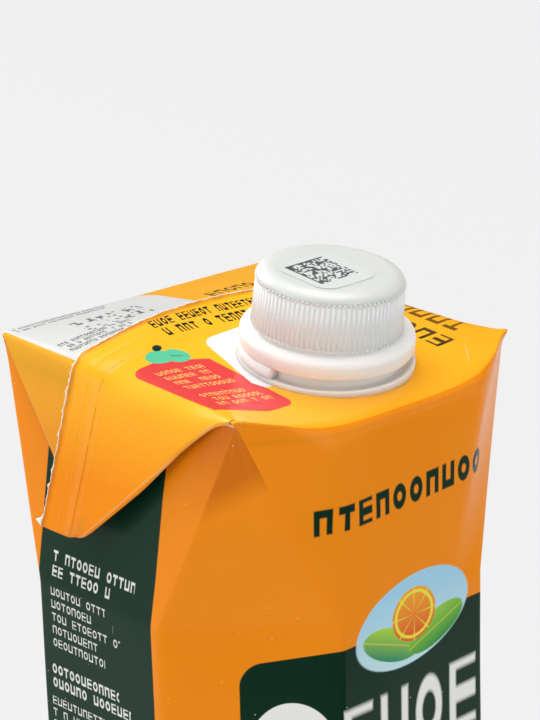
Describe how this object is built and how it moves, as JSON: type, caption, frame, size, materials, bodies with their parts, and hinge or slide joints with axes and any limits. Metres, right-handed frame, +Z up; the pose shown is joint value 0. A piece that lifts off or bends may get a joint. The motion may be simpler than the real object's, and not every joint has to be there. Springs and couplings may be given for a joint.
{
  "type": "juice carton",
  "caption": "Sealed eight-sided juice carton with tapered ends, folded-down ears, an arched sealed ridge and a tilted, ribbed screw cap.",
  "frame": {"origin": "centre of the pack's footprint, at the plane it stands on", "axes": "+Z up the pack, -Y out of its front face (the side the spout leans towards), X along the sealed ridge"},
  "size_m": [0.0876, 0.077, 0.2138],
  "materials": {
    "board": "printed, glossy coated board",
    "spout": "satin white moulded plastic",
    "ring": "satin white moulded plastic",
    "cap": "satin white moulded plastic with fine ribs",
    "label": "thin semi-gloss film"
  },
  "bodies": {
    "root": {"carton": "board", "spout_base": "spout", "tamper_ring": "ring", "cap": "cap", "code_label": "label"}
  },
  "joints": []
}
